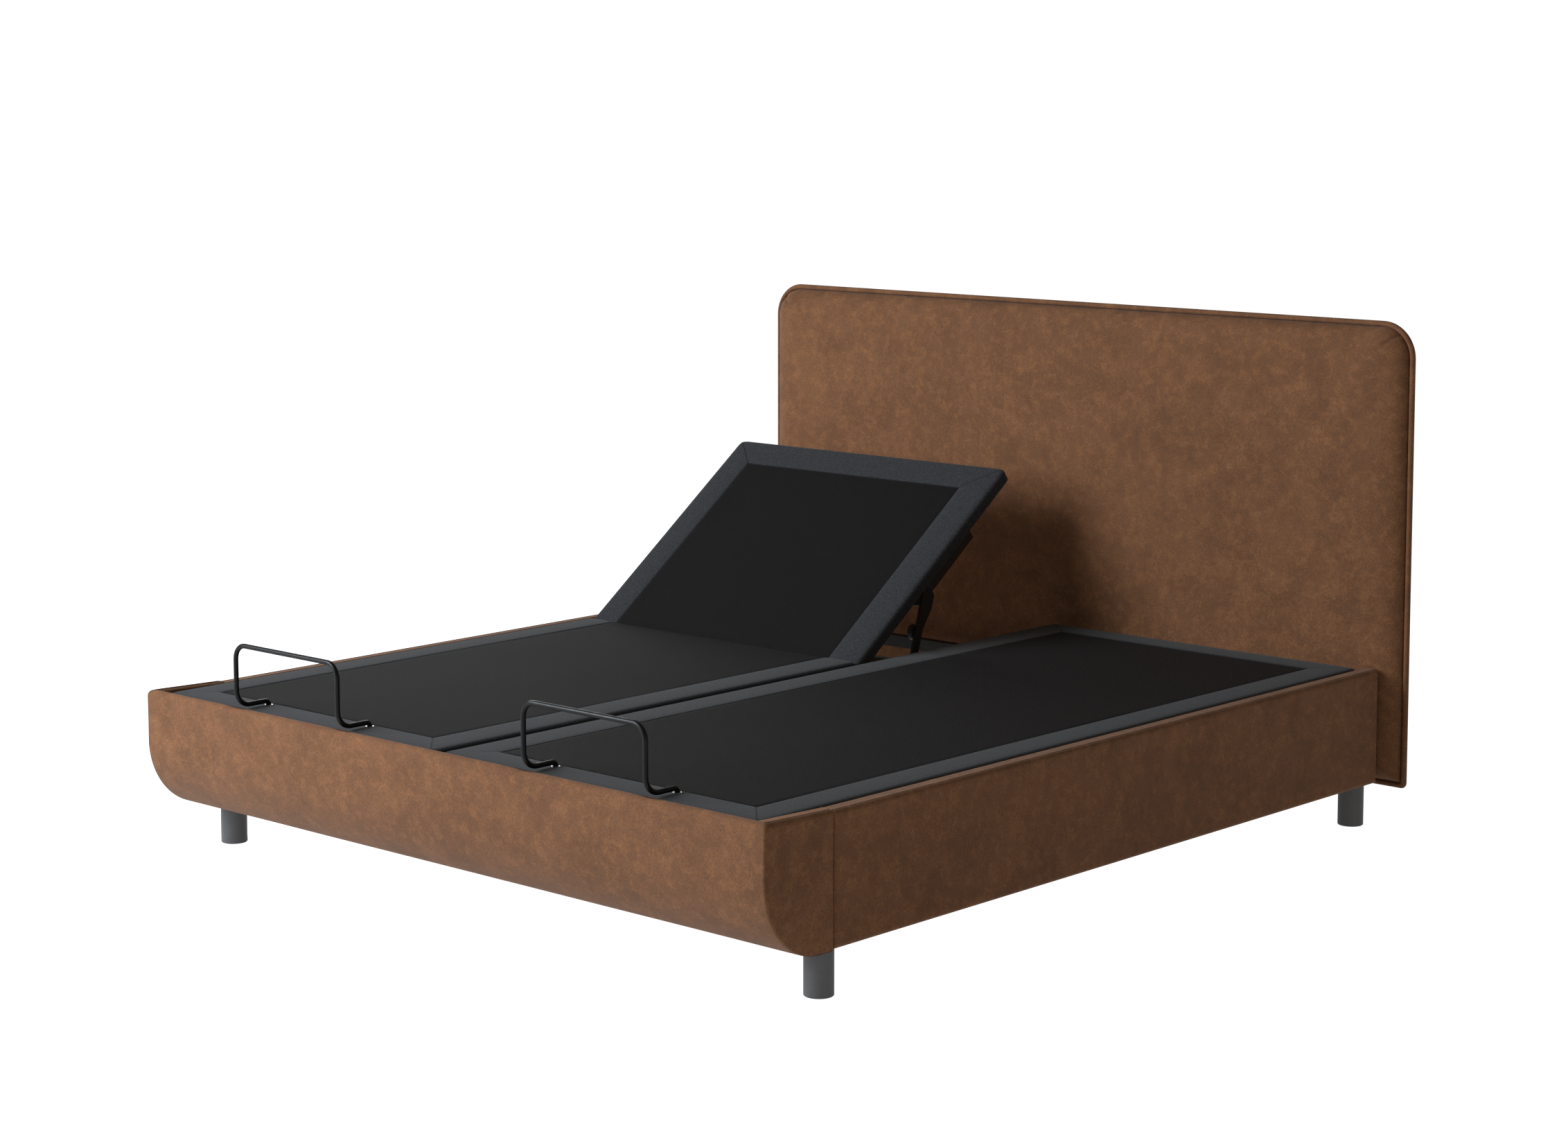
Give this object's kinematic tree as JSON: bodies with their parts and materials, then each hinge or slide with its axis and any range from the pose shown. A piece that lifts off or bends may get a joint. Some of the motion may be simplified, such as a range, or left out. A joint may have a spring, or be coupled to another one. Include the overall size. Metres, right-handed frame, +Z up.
{
  "type": "adjustable bed base",
  "caption": "Upholstered double adjustable bed base with a headboard: two side-by-side lying surfaces whose back and leg sections tilt on steel frames.",
  "frame": {"origin": "on the floor under the centre of the whole bed", "axes": "+Z up, +Y from the foot board to the headboard, +X to the right when standing at the foot and facing the headboard"},
  "size_m": [2.002, 2.19, 1.184],
  "materials": {
    "suede": "soft mottled brown suede-look upholstery",
    "deck_fabric": "dark grey felt border with a near-black twill centre",
    "plywood": "birch plywood",
    "frame_steel": "black powder coat",
    "grey_powder": "dark grey powder coat",
    "zinc": "zinc plated",
    "nylon": "black nylon",
    "drive_plastic": "moulded dark grey plastic",
    "bar_wire": "satin black coated wire"
  },
  "bodies": {
    "root": {"foot_board": "suede", "headboard_panel": "suede", "headboard_pad": "suede", "headboard_rim": "suede", "side_rail_left": "suede", "side_rail_right": "suede", "leg_foot_left": "grey_powder", "leg_foot_right": "grey_powder", "leg_head_left": "grey_powder", "leg_head_right": "grey_powder", "corner_brackets": "frame_steel", "corner_bolts": "zinc", "centre_beam": "frame_steel", "centre_legs": "frame_steel", "control_boxes": "drive_plastic", "base_rails_inner": "frame_steel", "base_rail_outer_left": "frame_steel", "base_cross_bars_left": "frame_steel", "seat_board_left": "plywood", "seat_pad_left": "deck_fabric", "drive_casing_left": "drive_plastic", "base_rail_outer_right": "frame_steel", "base_cross_bars_right": "frame_steel", "seat_board_right": "plywood", "seat_pad_right": "deck_fabric", "drive_casing_right": "drive_plastic"},
    "back_left": {"back_board_left": "plywood", "back_pad_left": "deck_fabric", "back_frame_left": "frame_steel"},
    "back_lift_left": {"back_lift_left": "frame_steel"},
    "back_rollers_left": {"back_rollers_left": "nylon"},
    "arm_wheels_left": {"arm_wheels_left": "nylon"},
    "back_push_left": {"back_push_block_left": "drive_plastic"},
    "thigh_left": {"thigh_board_left": "plywood", "thigh_pad_left": "deck_fabric", "thigh_frame_left": "frame_steel"},
    "calf_left": {"calf_board_left": "plywood", "calf_pad_left": "deck_fabric", "calf_frame_left": "frame_steel", "retainer_bar_left": "bar_wire"},
    "leg_lift_left": {"leg_lift_left": "frame_steel"},
    "leg_rollers_left": {"leg_rollers_left": "nylon"},
    "leg_push_left": {"leg_push_block_left": "drive_plastic"},
    "back_right": {"back_board_right": "plywood", "back_pad_right": "deck_fabric", "back_frame_right": "frame_steel"},
    "back_lift_right": {"back_lift_right": "frame_steel"},
    "back_rollers_right": {"back_rollers_right": "nylon"},
    "arm_wheels_right": {"arm_wheels_right": "nylon"},
    "back_push_right": {"back_push_block_right": "drive_plastic"},
    "thigh_right": {"thigh_board_right": "plywood", "thigh_pad_right": "deck_fabric", "thigh_frame_right": "frame_steel"},
    "calf_right": {"calf_board_right": "plywood", "calf_pad_right": "deck_fabric", "calf_frame_right": "frame_steel", "retainer_bar_right": "bar_wire"},
    "leg_lift_right": {"leg_lift_right": "frame_steel"},
    "leg_rollers_right": {"leg_rollers_right": "nylon"},
    "leg_push_right": {"leg_push_block_right": "drive_plastic"}
  },
  "joints": [
    {"name": "back_tilt_left", "type": "hinge", "parent": "root", "child": "back_left", "pos_m": [0, 0.287, 0.32], "axis": [1, 0, 0], "range_deg": [-36.5, 18.5]},
    {"name": "back_lift_turn_left", "type": "hinge", "parent": "root", "child": "back_lift_left", "pos_m": [0, 0.502, 0.32], "axis": [1, 0, 0], "range_deg": [-73.5, 37.5]},
    {"name": "back_roller_spin_left", "type": "hinge", "parent": "back_lift_left", "child": "back_rollers_left", "pos_m": [0, 0.56486, 0.52561], "axis": [1, 0, 0], "continuous": true},
    {"name": "arm_wheel_spin_left", "type": "hinge", "parent": "back_lift_left", "child": "arm_wheels_left", "pos_m": [0, 0.52714, 0.40224], "axis": [1, 0, 0], "continuous": true},
    {"name": "back_push_slide_left", "type": "slide", "parent": "root", "child": "back_push_left", "axis": [0, 1, 0], "range_m": [-0.05486, 0.02805]},
    {"name": "thigh_tilt_left", "type": "hinge", "parent": "root", "child": "thigh_left", "pos_m": [0, 0.16, 0.32], "axis": [-1, 0, 0], "range_deg": [0, 32]},
    {"name": "calf_tilt_left", "type": "hinge", "parent": "thigh_left", "child": "calf_left", "pos_m": [0, -0.227, 0.32], "axis": [1, 0, 0], "range_deg": [0, 47]},
    {"name": "leg_lift_turn_left", "type": "hinge", "parent": "root", "child": "leg_lift_left", "pos_m": [0, -0.005, 0.32], "axis": [-1, 0, 0], "range_deg": [0, 64.5]},
    {"name": "leg_roller_spin_left", "type": "hinge", "parent": "leg_lift_left", "child": "leg_rollers_left", "pos_m": [0, -0.17, 0.32], "axis": [1, 0, 0], "continuous": true},
    {"name": "leg_push_slide_left", "type": "slide", "parent": "root", "child": "leg_push_left", "axis": [0, -1, 0], "range_m": [0, 0.0495]},
    {"name": "back_tilt_right", "type": "hinge", "parent": "root", "child": "back_right", "pos_m": [0, 0.287, 0.32], "axis": [1, 0, 0], "range_deg": [0, 55]},
    {"name": "back_lift_turn_right", "type": "hinge", "parent": "root", "child": "back_lift_right", "pos_m": [0, 0.502, 0.32], "axis": [1, 0, 0], "range_deg": [0, 110.5]},
    {"name": "back_roller_spin_right", "type": "hinge", "parent": "back_lift_right", "child": "back_rollers_right", "pos_m": [0, 0.717, 0.32], "axis": [1, 0, 0], "continuous": true},
    {"name": "arm_wheel_spin_right", "type": "hinge", "parent": "back_lift_right", "child": "arm_wheels_right", "pos_m": [0, 0.588, 0.32], "axis": [1, 0, 0], "continuous": true},
    {"name": "back_push_slide_right", "type": "slide", "parent": "root", "child": "back_push_right", "axis": [0, 1, 0], "range_m": [0, 0.08242]},
    {"name": "thigh_tilt_right", "type": "hinge", "parent": "root", "child": "thigh_right", "pos_m": [0, 0.16, 0.32], "axis": [-1, 0, 0], "range_deg": [0, 32]},
    {"name": "calf_tilt_right", "type": "hinge", "parent": "thigh_right", "child": "calf_right", "pos_m": [0, -0.227, 0.32], "axis": [1, 0, 0], "range_deg": [0, 47]},
    {"name": "leg_lift_turn_right", "type": "hinge", "parent": "root", "child": "leg_lift_right", "pos_m": [0, -0.005, 0.32], "axis": [-1, 0, 0], "range_deg": [0, 64.5]},
    {"name": "leg_roller_spin_right", "type": "hinge", "parent": "leg_lift_right", "child": "leg_rollers_right", "pos_m": [0, -0.17, 0.32], "axis": [1, 0, 0], "continuous": true},
    {"name": "leg_push_slide_right", "type": "slide", "parent": "root", "child": "leg_push_right", "axis": [0, -1, 0], "range_m": [0, 0.0495]}
  ],
  "couplings": [
    {"joint": "back_lift_turn_left", "follows": "back_tilt_left", "ratio": 2},
    {"joint": "back_push_slide_left", "follows": "back_tilt_left", "m_per_rad": 0.085335},
    {"joint": "calf_tilt_left", "follows": "thigh_tilt_left", "ratio": 1.449},
    {"joint": "leg_lift_turn_left", "follows": "thigh_tilt_left", "ratio": 2},
    {"joint": "leg_push_slide_left", "follows": "thigh_tilt_left", "m_per_rad": 0.087},
    {"joint": "back_lift_turn_right", "follows": "back_tilt_right", "ratio": 2},
    {"joint": "back_push_slide_right", "follows": "back_tilt_right", "m_per_rad": 0.085335},
    {"joint": "calf_tilt_right", "follows": "thigh_tilt_right", "ratio": 1.449},
    {"joint": "leg_lift_turn_right", "follows": "thigh_tilt_right", "ratio": 2},
    {"joint": "leg_push_slide_right", "follows": "thigh_tilt_right", "m_per_rad": 0.087}
  ]
}
